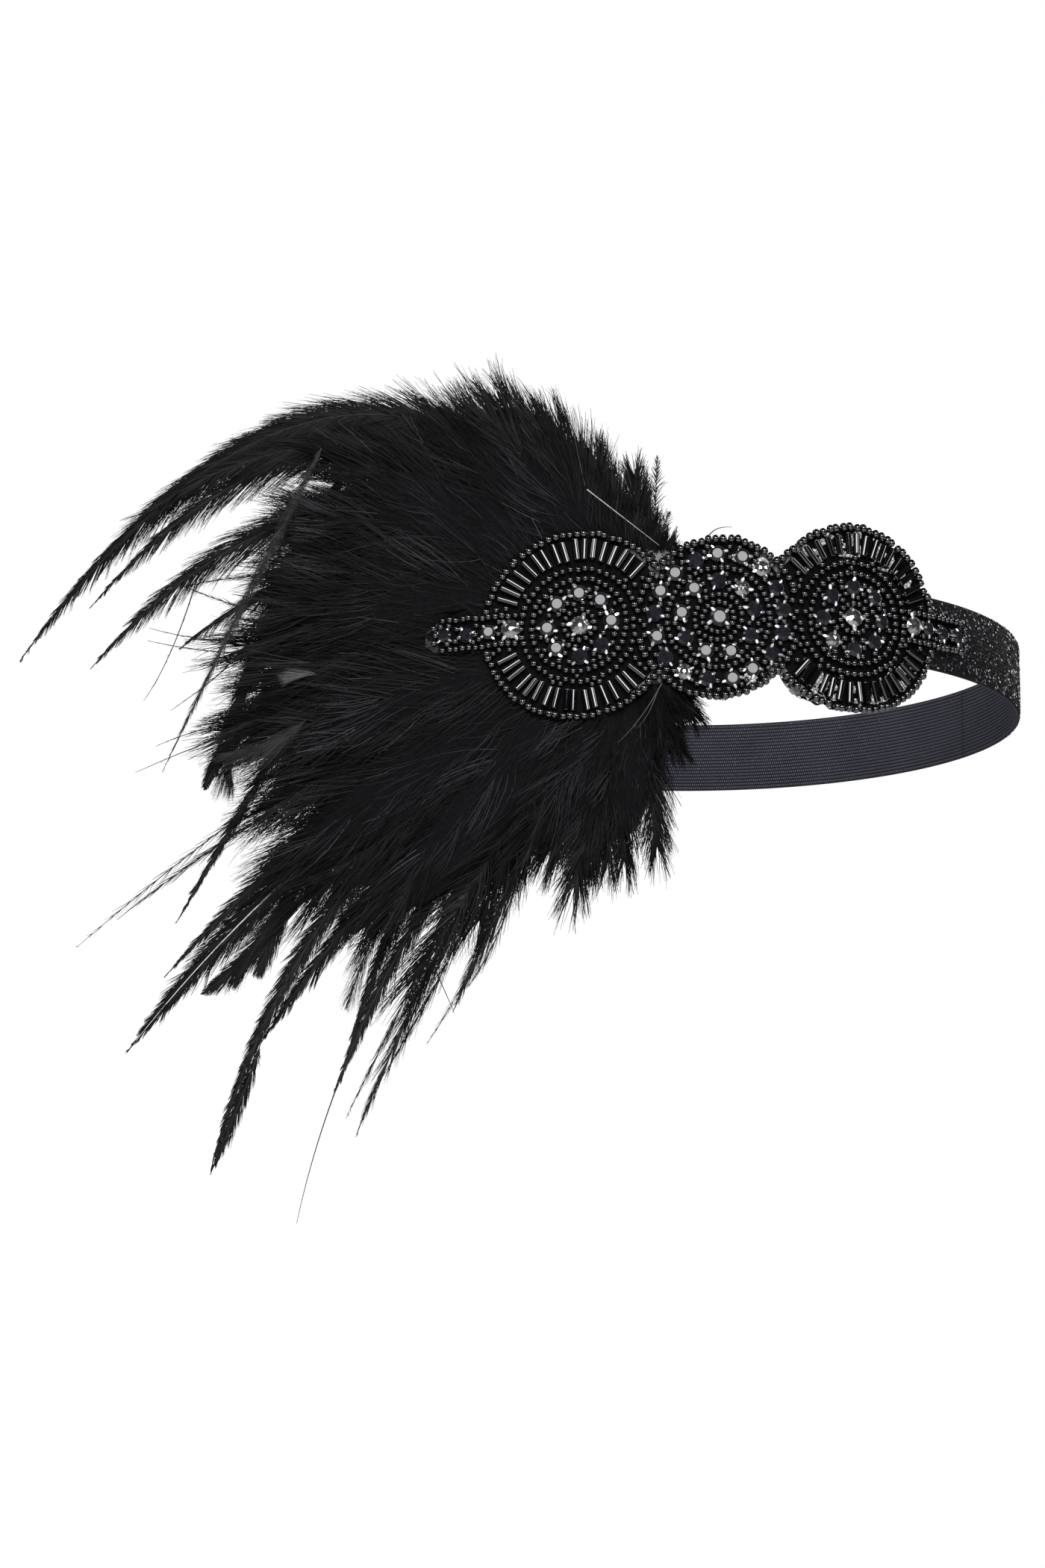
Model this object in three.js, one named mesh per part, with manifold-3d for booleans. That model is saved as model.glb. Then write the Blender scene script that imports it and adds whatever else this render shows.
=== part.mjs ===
// A flapper style feather headband: a whole loop of ribbed glitter elastic, a beaded applique of
// three round medallions and two end tabs at its front, and a plume of marabou and hackle feathers
// whose quills are held between the elastic and the applique's backing.
// Millimetres, +Z up. The origin is the centre of the loop at half the elastic's height. The
// wearer's front faces -Y and the wearer's left is +X.
import * as THREE from "three";
import { mergeVertices } from "three/addons/utils/BufferGeometryUtils.js";
import Module from "manifold-3d";

// The elastic loop, stretched round a head
const band_radius = 91.2;
const band_height = 20;
const band_wall = 1.2;
const band_steps = 72;

// The applique, laid round the front of the elastic
const applique_turn = THREE.MathUtils.degToRad(2.4);
const applique_drop = 2;
const right_slope = 0.053;
const left_slope = 0.065;
const medallion_pitch = 36.9;
const side_radius = 25.8;
const middle_radius = 22.2;
const tab_length = 15;
const tab_half_height = 5.5;
const backing_thickness = 1;
const backing_step = 1.7;
const seat_gap = 0.3;

// Bugle beads, in an upper and a lower arc on each side medallion, a margin inside its rim
const bugle_length = 5.8;
const bugle_width = 2;
const bugle_margin = 2.3;
const bugle_count = 17;
const bugle_sweep = THREE.MathUtils.degToRad(122);
const bugle_tilt = THREE.MathUtils.degToRad(10);
const bugle_flank = 0.45;
const bugle_facets = 3;

// Claw-set stones
const stone_radius = 2.1;
const stone_height = 2;
const centre_stone_radius = 2.5;
const centre_stone_height = 2.6;
const side_ring_radius = 8.7;
const side_ring_count = 8;
const outer_ring_radius = 17.2;
const outer_ring_count = 17;
const inner_ring_radius = 10;
const inner_ring_count = 9;
const ring_plate_width = 2.6;
const ring_plate_thickness = 0.6;
const stone_facets = 8;
const stone_base_share = 0.8;
const stone_girdle_share = 0.6;
const stone_table_share = 0.6;

// Stones in a row out to each end tab: their places, as shares of the tab's length counted out from
// the medallion's rim, and their sizes, as shares of the stone radius and height above
const tab_stones = [
  { place: -0.5, size: 1.2 },
  { place: -0.1, size: 0.9 },
  { place: 0.28, size: 0.9 },
  { place: 0.65, size: 0.9 },
];

// The applique is too stiff to follow the head all the way: it parts from the elastic just to the
// left of the middle medallion and goes on along a gentler bend, with the plume behind it
const parting_place = 6;
const sheet_bend = 320;

// The plume: its quills are glued behind the gap between the right and the middle medallion
const quill_place = -0.5;
const quill_spread = 9;
const quill_thickness = 2.4;
const plume_reach = 190;
const marabou_width = 17;
const marabou_depth = 9;
const marabou_out = -5;
const hackle_width = 8;
const hackle_depth = 2.2;
const hackle_out = -7;

// One row a lock. Turns are in degrees above the wearer's right at the quills and at the tip,
// reach is a share of the plume's reach, arch is how far out the turn is made as a share of the
// lock's own reach, and width and out are shares of the sizes above.
const marabou_locks = [
  { start: 104, tip: 105, reach: 0.12, arch: 0.5, width: 0.3, out: 0.3 },
  { start: 86, tip: 93, reach: 0.19, arch: 0.5, width: 0.4, out: 0.9 },
  { start: 80, tip: 84, reach: 0.235, arch: 0.5, width: 0.5, out: 0.4 },
  { start: 76, tip: 77, reach: 0.28, arch: 0.5, width: 0.6, out: 1.2 },
  { start: 72, tip: 71, reach: 0.32, arch: 0.5, width: 0.7, out: 0.4 },
  { start: 69, tip: 66, reach: 0.365, arch: 0.5, width: 0.8, out: 1.3 },
  { start: 63, tip: 60, reach: 0.415, arch: 0.5, width: 0.85, out: 0.4 },
  { start: 58, tip: 53, reach: 0.43, arch: 0.5, width: 0.9, out: 1.2 },
  { start: 51, tip: 46, reach: 0.455, arch: 0.5, width: 1, out: 0.3 },
  { start: 44, tip: 36, reach: 0.495, arch: 0.55, width: 1.1, out: 1.2 },
  { start: 34, tip: 24, reach: 0.55, arch: 0.55, width: 1.2, out: 0.3 },
  { start: 22, tip: 13, reach: 0.59, arch: 0.55, width: 1.2, out: 1.2 },
  { start: 8, tip: 3, reach: 0.615, arch: 0.55, width: 1.2, out: 0.2 },
  { start: -4, tip: -7, reach: 0.64, arch: 0.55, width: 1.2, out: 1.2 },
  { start: -14, tip: -17, reach: 0.665, arch: 0.5, width: 1.2, out: 0.3 },
  { start: -23, tip: -26, reach: 0.67, arch: 0.5, width: 1.1, out: 1.3 },
  { start: -32, tip: -34, reach: 0.65, arch: 0.5, width: 1.1, out: 0.4 },
  { start: -40, tip: -42, reach: 0.61, arch: 0.5, width: 1, out: 1.2 },
  { start: -48, tip: -50, reach: 0.565, arch: 0.5, width: 1, out: 0.3 },
  { start: -56, tip: -58, reach: 0.5, arch: 0.5, width: 0.9, out: 1.2 },
  { start: -65, tip: -66, reach: 0.44, arch: 0.5, width: 0.8, out: 0.3 },
  { start: -75, tip: -76, reach: 0.41, arch: 0.5, width: 0.75, out: 1.1 },
  { start: -84, tip: -86, reach: 0.395, arch: 0.5, width: 0.7, out: 0.3 },
  { start: -89, tip: -94, reach: 0.315, arch: 0.5, width: 0.55, out: 0.9 },
  { start: -93, tip: -98, reach: 0.235, arch: 0.5, width: 0.5, out: 0.3 },
  { start: -105, tip: -108, reach: 0.155, arch: 0.5, width: 0.4, out: 0.6 },
];
const hackle_locks = [
  { start: 57, tip: 0, reach: 0.955, arch: 0.77, width: 1, out: 1.1 },
  { start: 51, tip: 14, reach: 0.79, arch: 0.7, width: 0.8, out: 0.7 },
  { start: 43, tip: -1, reach: 0.83, arch: 0.68, width: 0.85, out: 0.9 },
  { start: 31, tip: -1, reach: 0.7, arch: 0.6, width: 0.7, out: 0.6 },
  { start: -9, tip: -17, reach: 0.69, arch: 0.5, width: 0.8, out: 1.1 },
  { start: -21, tip: -31, reach: 0.81, arch: 0.5, width: 0.9, out: 0.8 },
  { start: -28, tip: -37, reach: 0.96, arch: 0.55, width: 1.2, out: 1.1 },
  { start: -35, tip: -38, reach: 0.815, arch: 0.5, width: 0.8, out: 0.6 },
  { start: -38, tip: -46, reach: 0.82, arch: 0.5, width: 0.9, out: 1 },
  { start: -31, tip: -51, reach: 1, arch: 0.6, width: 0.75, out: 0.7 },
  { start: -46, tip: -60, reach: 0.99, arch: 0.6, width: 0.75, out: 1.1 },
  { start: -52, tip: -60, reach: 0.84, arch: 0.5, width: 0.8, out: 0.7 },
  { start: -60, tip: -63, reach: 0.62, arch: 0.5, width: 0.8, out: 0.9 },
];

const elastic_finish = new THREE.MeshStandardMaterial({ color: 0x191a20, roughness: 0.8 });
const backing_finish = new THREE.MeshStandardMaterial({ color: 0x4a4b4e, roughness: 0.85 });
const bugle_finish = new THREE.MeshStandardMaterial({ color: 0x08080a, roughness: 0.12 });
const stone_finish = new THREE.MeshStandardMaterial({ color: 0x3d3e42, roughness: 0.15, metalness: 0.7 });
const feather_finish = new THREE.MeshStandardMaterial({ color: 0x0b0b0d, roughness: 0.75 });

const headband = new THREE.Group();
const band_outer = band_radius + band_wall;
const side_places = { left: -medallion_pitch, right: medallion_pitch };
const tab_end = medallion_pitch + side_radius + tab_length;
const quill_along = quill_place * medallion_pitch;

const wasm = await Module();
wasm.setup();

function addPiece(name, geometry, finish) {
  const piece = new THREE.Mesh(geometry, finish);
  piece.name = name;
  headband.add(piece);
  return piece;
}

// Outward direction at a distance along the elastic from the applique's centre
function outward(along) {
  const turn = applique_turn + along / band_radius;
  return new THREE.Vector3(Math.sin(turn), -Math.cos(turn), 0);
}

// The sheet that the applique's free part and the plume follow: right from the parting place, which
// is towards the wearer's right, up, and out from the backing's inner face
const seat_radius = band_outer + seat_gap;
const sheet_centre = outward(parting_place).multiplyScalar(seat_radius - sheet_bend);

function onSheet(right, up, out) {
  const turn = applique_turn + parting_place / band_radius - right / sheet_bend;
  const point = new THREE.Vector3(Math.sin(turn), -Math.cos(turn), 0).multiplyScalar(sheet_bend + out);
  return point.add(sheet_centre).setZ(up);
}

// How far the applique's middle line lies above the elastic's: it rises from the left end to the right
// medallion, and is level from there on
function middleLine(along) {
  const slope = along < 0 ? left_slope : right_slope;
  return Math.min(along, medallion_pitch) * slope - applique_drop;
}

// A point of the applique: along the elastic, up from the applique's middle line, and out from the
// backing's inner face
function onApplique(along, up, out) {
  const height = up + middleLine(along);
  if (along < parting_place) {
    return onSheet(parting_place - along, height, out);
  }
  return outward(along).multiplyScalar(seat_radius + out).setZ(height);
}

// Moves every vertex of a geometry by a function from its place to its new place
function bend(geometry, move) {
  const points = geometry.getAttribute("position");
  const point = new THREE.Vector3();
  for (let i = 0; i < points.count; i += 1) {
    point.fromBufferAttribute(points, i);
    const moved = move(point);
    points.setXYZ(i, moved.x, moved.y, moved.z);
  }
  points.needsUpdate = true;
  geometry.computeVertexNormals();
  return geometry;
}

function toSolid(geometry) {
  const bare = geometry.clone();
  bare.deleteAttribute("normal");
  bare.deleteAttribute("uv");
  const merged = mergeVertices(bare);
  const vertProperties = Float32Array.from(merged.getAttribute("position").array);
  const triVerts = Uint32Array.from(merged.getIndex().array);
  return new wasm.Manifold(new wasm.Mesh({ numProp: 3, vertProperties, triVerts }));
}

function toGeometry(solid) {
  const mesh = solid.getMesh();
  const geometry = new THREE.BufferGeometry();
  geometry.setAttribute("position", new THREE.BufferAttribute(Float32Array.from(mesh.vertProperties), 3));
  geometry.setIndex(new THREE.BufferAttribute(Uint32Array.from(mesh.triVerts), 1));
  geometry.computeVertexNormals();
  return geometry;
}

// The elastic: a closed rectangular section turned once round the head
function makeElastic() {
  const low = -band_height / 2;
  const high = band_height / 2;
  const section = [
    new THREE.Vector2(band_radius, low),
    new THREE.Vector2(band_outer, low),
    new THREE.Vector2(band_outer, high),
    new THREE.Vector2(band_radius, high),
    new THREE.Vector2(band_radius, low),
  ];
  const loop = new THREE.LatheGeometry(section, band_steps).rotateX(Math.PI / 2);
  addPiece("elastic_band", loop, elastic_finish);
}

function roundHalfHeight(radius, offset) {
  return Math.sqrt(Math.max(0, radius * radius - offset * offset));
}

// Half the backing's height: the tabs with rounded ends, and the three medallions where they are taller
function backingHalfHeight(along) {
  const past = Math.max(0, Math.abs(along) - (tab_end - tab_half_height));
  const tab = Math.max(tab_half_height / 2, roundHalfHeight(tab_half_height, past));
  const middle = roundHalfHeight(middle_radius, along);
  const left = roundHalfHeight(side_radius, along - side_places.left);
  const right = roundHalfHeight(side_radius, along - side_places.right);
  return Math.max(tab, middle, left, right);
}

// A strip of the backing's outline from one depth to another, grown at its edges by a margin
function backingStrip(inner, outer, margin) {
  const steps = Math.ceil(2 * tab_end / backing_step);
  const strip = new THREE.BoxGeometry(2, 2, 1, steps, 1, 1);
  return bend(strip, (p) => {
    const along = p.x * tab_end;
    const up = p.y * (backingHalfHeight(along) + margin);
    const grown = along + Math.sign(p.x) * (Math.abs(p.x) > 1 - 1 / steps ? margin : 0);
    return onApplique(grown, up, p.z > 0 ? outer : inner);
  });
}

function makeBacking() {
  addPiece("applique_backing", backingStrip(0, backing_thickness, 0), backing_finish);
}

const bead_floor = backing_thickness + seat_gap;

// One arc of bugle beads side by side, fused at their flanks, each with a flat-topped round back
function makeBugleArc(name, centre, middle_turn) {
  const arc = new THREE.BoxGeometry(1, 1, 1, bugle_count * bugle_facets, 1, 1);
  bend(arc, (p) => {
    const step = Math.round((p.x + 0.5) * bugle_count * bugle_facets);
    const turn = middle_turn - p.x * bugle_sweep;
    const radius = side_radius - bugle_margin - (0.5 - p.y) * bugle_length;
    const crown = step % bugle_facets === 0 ? bugle_flank * bugle_width : bugle_width;
    const out = bead_floor + (p.z > 0 ? crown : 0);
    return onApplique(centre + radius * Math.cos(turn), radius * Math.sin(turn), out);
  });
  addPiece(name, arc, bugle_finish);
}

function makeBugles() {
  for (const [side, centre] of Object.entries(side_places)) {
    const tilt = Math.sign(centre) * bugle_tilt;
    makeBugleArc(`${side}_upper_bugles`, centre, Math.PI / 2 - tilt);
    makeBugleArc(`${side}_lower_bugles`, centre, -Math.PI / 2 + tilt);
  }
}

// A stone in its setting: a cup that widens to the girdle, a faceted crown and a flat table
function stoneGeometry(radius, height) {
  const profile = [
    new THREE.Vector2(0, 0),
    new THREE.Vector2(stone_base_share * radius, 0),
    new THREE.Vector2(radius, stone_girdle_share * height),
    new THREE.Vector2(stone_table_share * radius, height),
    new THREE.Vector2(0, height),
  ];
  return new THREE.LatheGeometry(profile, stone_facets).rotateX(Math.PI / 2);
}

function placeStone(name, radius, height, along, up) {
  const stone = addPiece(name, stoneGeometry(radius, height), stone_finish);
  const before = onApplique(along - radius, up, bead_floor);
  const after = onApplique(along + radius, up, bead_floor);
  const side = after.clone().sub(before).normalize();
  const upright = new THREE.Vector3(0, 0, 1).projectOnPlane(side).normalize();
  const out = new THREE.Vector3().crossVectors(side, upright);
  stone.quaternion.setFromRotationMatrix(new THREE.Matrix4().makeBasis(side, upright, out));
  stone.position.copy(onApplique(along, up, bead_floor));
}

function ringPlaces(count, radius) {
  return Array.from({ length: count }, (_, i) => {
    const turn = Math.PI / 2 + (i * 2 * Math.PI) / count;
    return { along: radius * Math.cos(turn), up: radius * Math.sin(turn) };
  });
}

// Stones that are pieces of their own: the side medallions', the centre one and the tabs'
function makeSingleStones() {
  for (const [side, centre] of Object.entries(side_places)) {
    placeStone(`${side}_centre_stone`, centre_stone_radius, centre_stone_height, centre, 0);
    ringPlaces(side_ring_count, side_ring_radius).forEach((place, i) => {
      placeStone(`${side}_ring_stone_${i + 1}`, stone_radius, stone_height, centre + place.along, place.up);
    });
    tab_stones.forEach((row, i) => {
      const along = Math.sign(centre) * (medallion_pitch + side_radius + row.place * tab_length);
      placeStone(`${side}_tab_stone_${i + 1}`, row.size * stone_radius, row.size * stone_height, along, 0);
    });
  }
  placeStone("middle_centre_stone", centre_stone_radius, centre_stone_height, 0, 0);
}

// A ring of stones on the middle medallion, fused to the thin plate that their settings share
function makeStoneRing(name, count, radius) {
  const half = ring_plate_width / 2;
  const plate_profile = [
    new THREE.Vector2(radius - half, 0),
    new THREE.Vector2(radius + half, 0),
    new THREE.Vector2(radius + half, ring_plate_thickness),
    new THREE.Vector2(radius - half, ring_plate_thickness),
    new THREE.Vector2(radius - half, 0),
  ];
  const plate = new THREE.LatheGeometry(plate_profile, 2 * count).rotateX(Math.PI / 2);
  let ring = toSolid(plate);
  for (const place of ringPlaces(count, radius)) {
    const stone = stoneGeometry(stone_radius, stone_height);
    ring = ring.add(toSolid(stone.translate(place.along, place.up, 0)));
  }
  const geometry = bend(toGeometry(ring), (p) => onApplique(p.x, p.y, bead_floor + p.z));
  addPiece(name, geometry, stone_finish);
}

// A place in the plume: right and up from the quills, and out from the backing's inner face
function inPlume(right, up, out) {
  return onSheet(parting_place - quill_along + right, middleLine(quill_along) + up, out);
}

// How full a lock is from its quill, 0, to its tip, 1: it swells to 1 at its fullest place
function fullness(t, fullest, rise) {
  const fall = (rise * (1 - fullest)) / fullest;
  return Math.pow(t / fullest, rise) * Math.pow((1 - t) / (1 - fullest), fall);
}

// One lock: a ball drawn out along a curve in the plume, flat, and pointed at both ends
function makeLock(row, size) {
  const reach = row.reach * plume_reach;
  const start = THREE.MathUtils.degToRad(row.start);
  const tip = THREE.MathUtils.degToRad(row.tip);
  const turn_point = new THREE.Vector2(Math.cos(start), Math.sin(start)).multiplyScalar(row.arch * reach);
  const tip_point = new THREE.Vector2(Math.cos(tip), Math.sin(tip)).multiplyScalar(reach);
  const spine = new THREE.QuadraticBezierCurve(new THREE.Vector2(0, 0), turn_point, tip_point);
  const ball = new THREE.SphereGeometry(1, size.sides, size.rings);
  bend(ball, (p) => {
    const t = Math.acos(THREE.MathUtils.clamp(p.y, -1, 1)) / Math.PI;
    const girth = Math.hypot(p.x, p.z);
    const swell = girth < 1e-6 ? 0 : fullness(t, size.fullest, size.rise) / girth;
    const middle = spine.getPoint(t);
    const ahead = spine.getTangent(t);
    const across = -p.x * swell * row.width * size.width;
    const rise_out = THREE.MathUtils.smoothstep(t, 0, 0.5);
    const spine_out = THREE.MathUtils.lerp(-quill_thickness / 2, row.out * size.out, rise_out);
    const out = spine_out + p.z * swell * size.depth;
    return inPlume(middle.x - across * ahead.y, middle.y + across * ahead.x, out);
  });
  return toSolid(ball);
}

// Where the quills are glued: a flat pad that fills the gap between elastic and backing
function makeQuillPad() {
  const ball = new THREE.SphereGeometry(1, 12, 6);
  bend(ball, (p) => {
    const out = (p.z - 0.5) * quill_thickness;
    return inPlume(-p.x * quill_spread, p.y * quill_spread, out);
  });
  return toSolid(ball);
}

function makePlume() {
  const marabou = {
    sides: 8, rings: 7, width: marabou_width, depth: marabou_depth, out: marabou_out, fullest: 0.64, rise: 0.8,
  };
  const hackle = {
    sides: 6, rings: 8, width: hackle_width, depth: hackle_depth, out: hackle_out, fullest: 0.4, rise: 0.6,
  };
  let plume = makeQuillPad();
  for (const row of marabou_locks) {
    plume = plume.add(makeLock(row, marabou));
  }
  for (const row of hackle_locks) {
    plume = plume.add(makeLock(row, hackle));
  }
  const head = new THREE.CylinderGeometry(seat_radius, seat_radius, 2 * plume_reach, band_steps);
  const applique_room = backingStrip(-seat_gap, marabou_width, 2 * seat_gap);
  plume = plume.subtract(toSolid(head.rotateX(Math.PI / 2))).subtract(toSolid(applique_room));
  addPiece("feather_plume", toGeometry(plume), feather_finish);
}

makeElastic();
makeBacking();
makeBugles();
makeStoneRing("middle_outer_stones", outer_ring_count, outer_ring_radius);
makeStoneRing("middle_inner_stones", inner_ring_count, inner_ring_radius);
makeSingleStones();
makePlume();

export default headband;
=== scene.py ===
import math

import bmesh
import bpy
import numpy as np
from mathutils import Matrix, Vector


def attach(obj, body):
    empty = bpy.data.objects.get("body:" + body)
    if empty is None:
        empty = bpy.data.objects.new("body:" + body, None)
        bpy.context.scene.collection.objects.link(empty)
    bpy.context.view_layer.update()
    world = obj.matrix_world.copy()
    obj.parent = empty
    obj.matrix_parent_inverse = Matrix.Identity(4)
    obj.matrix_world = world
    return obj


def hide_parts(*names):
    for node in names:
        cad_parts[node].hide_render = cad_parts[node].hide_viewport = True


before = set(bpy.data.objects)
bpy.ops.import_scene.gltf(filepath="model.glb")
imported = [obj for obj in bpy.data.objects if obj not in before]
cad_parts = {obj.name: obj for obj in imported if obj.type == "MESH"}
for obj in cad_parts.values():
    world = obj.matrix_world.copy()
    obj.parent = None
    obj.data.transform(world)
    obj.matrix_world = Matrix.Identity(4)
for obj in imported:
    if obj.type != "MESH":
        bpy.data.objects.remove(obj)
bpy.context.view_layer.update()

MM = 0.001
scene = bpy.context.scene


# The photographer's place: a long lens a little below the headband, one large softbox in front,
# smaller ones at the left, the right and behind, a white surround that is dim where it is
# reflected, and a pale floor well below the hanging headband.
def operator(operation, swapped=False):
    """A method that adds one Math node for two values, in their order or swapped."""
    def method(self, other):
        return self.math(operation, *((other, self) if swapped else (self, other)))
    return method


class Wire:
    """A node's output, on which Python's arithmetic adds Math nodes."""

    def __init__(self, finish, socket):
        self.finish = finish
        self.socket = socket

    def of(self, name):
        return Wire(self.finish, self.socket.node.outputs[name])

    def math(self, operation, *values):
        return self.finish.add("ShaderNodeMath", {"operation": operation}, dict(enumerate(values)))

    __add__, __radd__ = operator("ADD"), operator("ADD", True)
    __sub__, __rsub__ = operator("SUBTRACT"), operator("SUBTRACT", True)
    __mul__, __rmul__ = operator("MULTIPLY"), operator("MULTIPLY", True)
    __truediv__, __rtruediv__ = operator("DIVIDE"), operator("DIVIDE", True)
    __pow__, __gt__, __lt__ = operator("POWER"), operator("GREATER_THAN"), operator("LESS_THAN")


class Finish:
    """The node tree of a material or a world, filled through one method."""

    def __init__(self, owner):
        owner.use_nodes = True
        self.owner = owner
        self.tree = owner.node_tree
        self.tree.nodes.clear()

    def add(self, kind, settings=None, values=None, result=0):
        node = self.tree.nodes.new(kind)
        for name, value in (settings or {}).items():
            setattr(node, name, value)
        for name, value in (values or {}).items():
            if isinstance(value, Wire):
                self.tree.links.new(value.socket, node.inputs[name])
            else:
                node.inputs[name].default_value = value
        return Wire(self, node.outputs[result]) if len(node.outputs) else None

    def mix(self, factor, low, high):
        return self.add("ShaderNodeMix", {"data_type": "RGBA"}, {0: factor, 6: low, 7: high}, 2)

    def noise(self, place, scale, detail=2.0):
        return self.add("ShaderNodeTexNoise", None, {"Vector": place, "Scale": scale, "Detail": detail})

    def bump(self, height, distance, strength=1.0):
        values = {"Height": height, "Distance": distance, "Strength": strength}
        return self.add("ShaderNodeBump", None, values)

    def place(self):
        return self.add("ShaderNodeTexCoord", result="Object")

    def attribute(self, name):
        return self.add("ShaderNodeAttribute", {"attribute_name": name}, result="Fac")

    def surface(self, values):
        shader = self.add("ShaderNodeBsdfPrincipled", None, values)
        self.add("ShaderNodeOutputMaterial", None, {"Surface": shader})
        return self.owner


def new_finish(name):
    return Finish(bpy.data.materials.new(name))


LENS = 130.29
LOOKS_UP = math.radians(12)
CAMERA_PLACE = (-0.048, -1.56504, -0.36006)
FLOOR_HEIGHT = -0.5
FLOOR_SIZE = 4.0

camera_lens = bpy.data.cameras.new("camera")
camera_lens.lens = LENS
camera_lens.sensor_width = 36
camera_lens.clip_end = 30
camera = bpy.data.objects.new("camera", camera_lens)
camera.location = CAMERA_PLACE
camera.rotation_euler = (math.pi / 2 + LOOKS_UP, 0, 0)
scene.collection.objects.link(camera)
scene.camera = camera
scene.view_settings.view_transform = "Standard"

surround = Finish(bpy.data.worlds.new("surround"))
scene.world = surround.owner
seen = surround.add("ShaderNodeLightPath", result="Is Camera Ray")
white = surround.add("ShaderNodeBackground", None, {"Color": (1, 1, 1, 1), "Strength": 1.0})
dim = surround.add("ShaderNodeBackground", None, {
    "Color": (0.94, 0.96, 1, 1), "Strength": 0.55 - 0.52 * seen.of("Is Glossy Ray"),
})
surround_light = surround.add("ShaderNodeMixShader", None, {0: seen, 1: dim, 2: white})
surround.add("ShaderNodeOutputWorld", None, {"Surface": surround_light})


def add_softbox(name, place, width, height, brightness):
    lamp = bpy.data.lights.new(name, "AREA")
    lamp.shape = "RECTANGLE"
    lamp.size = width
    lamp.size_y = height
    lamp.energy = brightness * math.pi * width * height
    softbox = bpy.data.objects.new(name, lamp)
    softbox.location = place
    softbox.rotation_euler = Vector(place).to_track_quat("Z", "Y").to_euler()
    softbox.visible_camera = False
    scene.collection.objects.link(softbox)


add_softbox("front_softbox", (0.0, -1.35, 0.43), 0.9, 0.58, 14.0)
add_softbox("left_softbox", (-1.3, -0.7, 0.9), 0.6, 0.6, 5.0)
add_softbox("right_softbox", (1.25, -0.75, 0.55), 0.3, 0.4, 11.0)
add_softbox("rear_softbox", (0.9, 1.2, 0.9), 0.9, 0.9, 3.5)

floor_mesh = bmesh.new()
bmesh.ops.create_grid(floor_mesh, x_segments=1, y_segments=1, size=FLOOR_SIZE / 2)
bmesh.ops.translate(floor_mesh, vec=(0, 0, FLOOR_HEIGHT), verts=floor_mesh.verts)
floor_data = bpy.data.meshes.new("floor")
floor_mesh.to_mesh(floor_data)
floor_mesh.free()
paper = new_finish("paper")
floor_data.materials.append(paper.surface({"Base Color": (0.8, 0.8, 0.8, 1), "Roughness": 0.9}))
floor = bpy.data.objects.new("floor", floor_data)
scene.collection.objects.link(floor)


# The elastic: a whole loop of 20 mm rib-woven elastic, charcoal and soft inside, with lengthwise ribs
# that each hide a rubber thread. Its two ends are lapped and sewn behind the wearer's left ear.
BAND_RADIUS = 91.2 * MM
BAND_OUTER = 92.4 * MM
BAND_HEIGHT = 20 * MM
BAND_STEPS = 300
RIB_COUNT = 20
RIB_DEPTH = 0.35 * MM
STITCH_PITCH = 0.62 * MM
SEAM_TURN = math.radians(29)


def finish_piece(name, mesh, material, slot, *nodes):
    """Puts a mesh in the scene as a piece that rides on the headband."""
    mesh.materials.append(material)
    piece = bpy.data.objects.new(name, mesh)
    scene.collection.objects.link(piece)
    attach(piece, "root")
    if nodes:
        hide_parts(*nodes)
    return piece


def take_mesh(name, bm):
    mesh = bpy.data.meshes.new(name)
    bm.to_mesh(mesh)
    bm.free()
    return mesh


def spun(section, axis, steps):
    """A closed section of points, turned all the way round an axis."""
    bm = bmesh.new()
    corners = [bm.verts.new(p) for p in section]
    sides = [bm.edges.new((a, b)) for a, b in zip(corners, corners[1:] + corners[:1])]
    bmesh.ops.spin(
        bm, geom=corners + sides, cent=(0, 0, 0), axis=axis, angle=2 * math.pi, steps=steps, use_merge=True,
    )
    bmesh.ops.recalc_face_normals(bm, faces=bm.faces)
    return bm


section = []
for i in range(RIB_COUNT * 3 + 1):
    height = -BAND_HEIGHT / 2 + 0.25 * MM + (BAND_HEIGHT - 0.5 * MM) * i / (RIB_COUNT * 3)
    depth = 0 if i % 3 else RIB_DEPTH
    section.append((BAND_RADIUS + depth, 0, height))
section += [
    (BAND_RADIUS + 0.35 * MM, 0, BAND_HEIGHT / 2),
    (BAND_OUTER - 0.4 * MM, 0, BAND_HEIGHT / 2),
    (BAND_OUTER - 0.1 * MM, 0, BAND_HEIGHT / 2 - 0.3 * MM),
    (BAND_OUTER - 0.1 * MM, 0, -BAND_HEIGHT / 2 + 0.3 * MM),
    (BAND_OUTER - 0.4 * MM, 0, -BAND_HEIGHT / 2),
    (BAND_RADIUS + 0.35 * MM, 0, -BAND_HEIGHT / 2),
]
elastic_bm = spun(section, (0, 0, 1), BAND_STEPS)
for face in elastic_bm.faces:
    face.smooth = True

webbing = new_finish("webbing")
place = webbing.place()
split = webbing.add("ShaderNodeSeparateXYZ", None, {0: place})
across, back, rise = split, split.of("Y"), split.of("Z")
turn = back.math("ARCTAN2", back, across)
from_axis = (across * across + back * back) ** 0.5
inside = from_axis < BAND_OUTER - 0.6 * MM
ribs = rise * (RIB_COUNT / (BAND_HEIGHT - 0.5 * MM)) + 200
rib = ribs.math("FLOOR", ribs)
rib_crest_and_valley_shade = (ribs - rib) * (rib + 1 - ribs) * 4
stitch_turns = turn * (BAND_RADIUS / STITCH_PITCH * 2 * math.pi) + rib * math.pi
stitch = stitch_turns.math("SINE", stitch_turns) * 0.5 + 0.5
fuzz = webbing.noise(place, 1900.0, 3.0)
patch = webbing.noise(place, 90.0)
speck = webbing.noise(place, 2100.0, 1.0) > 0.72
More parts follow.
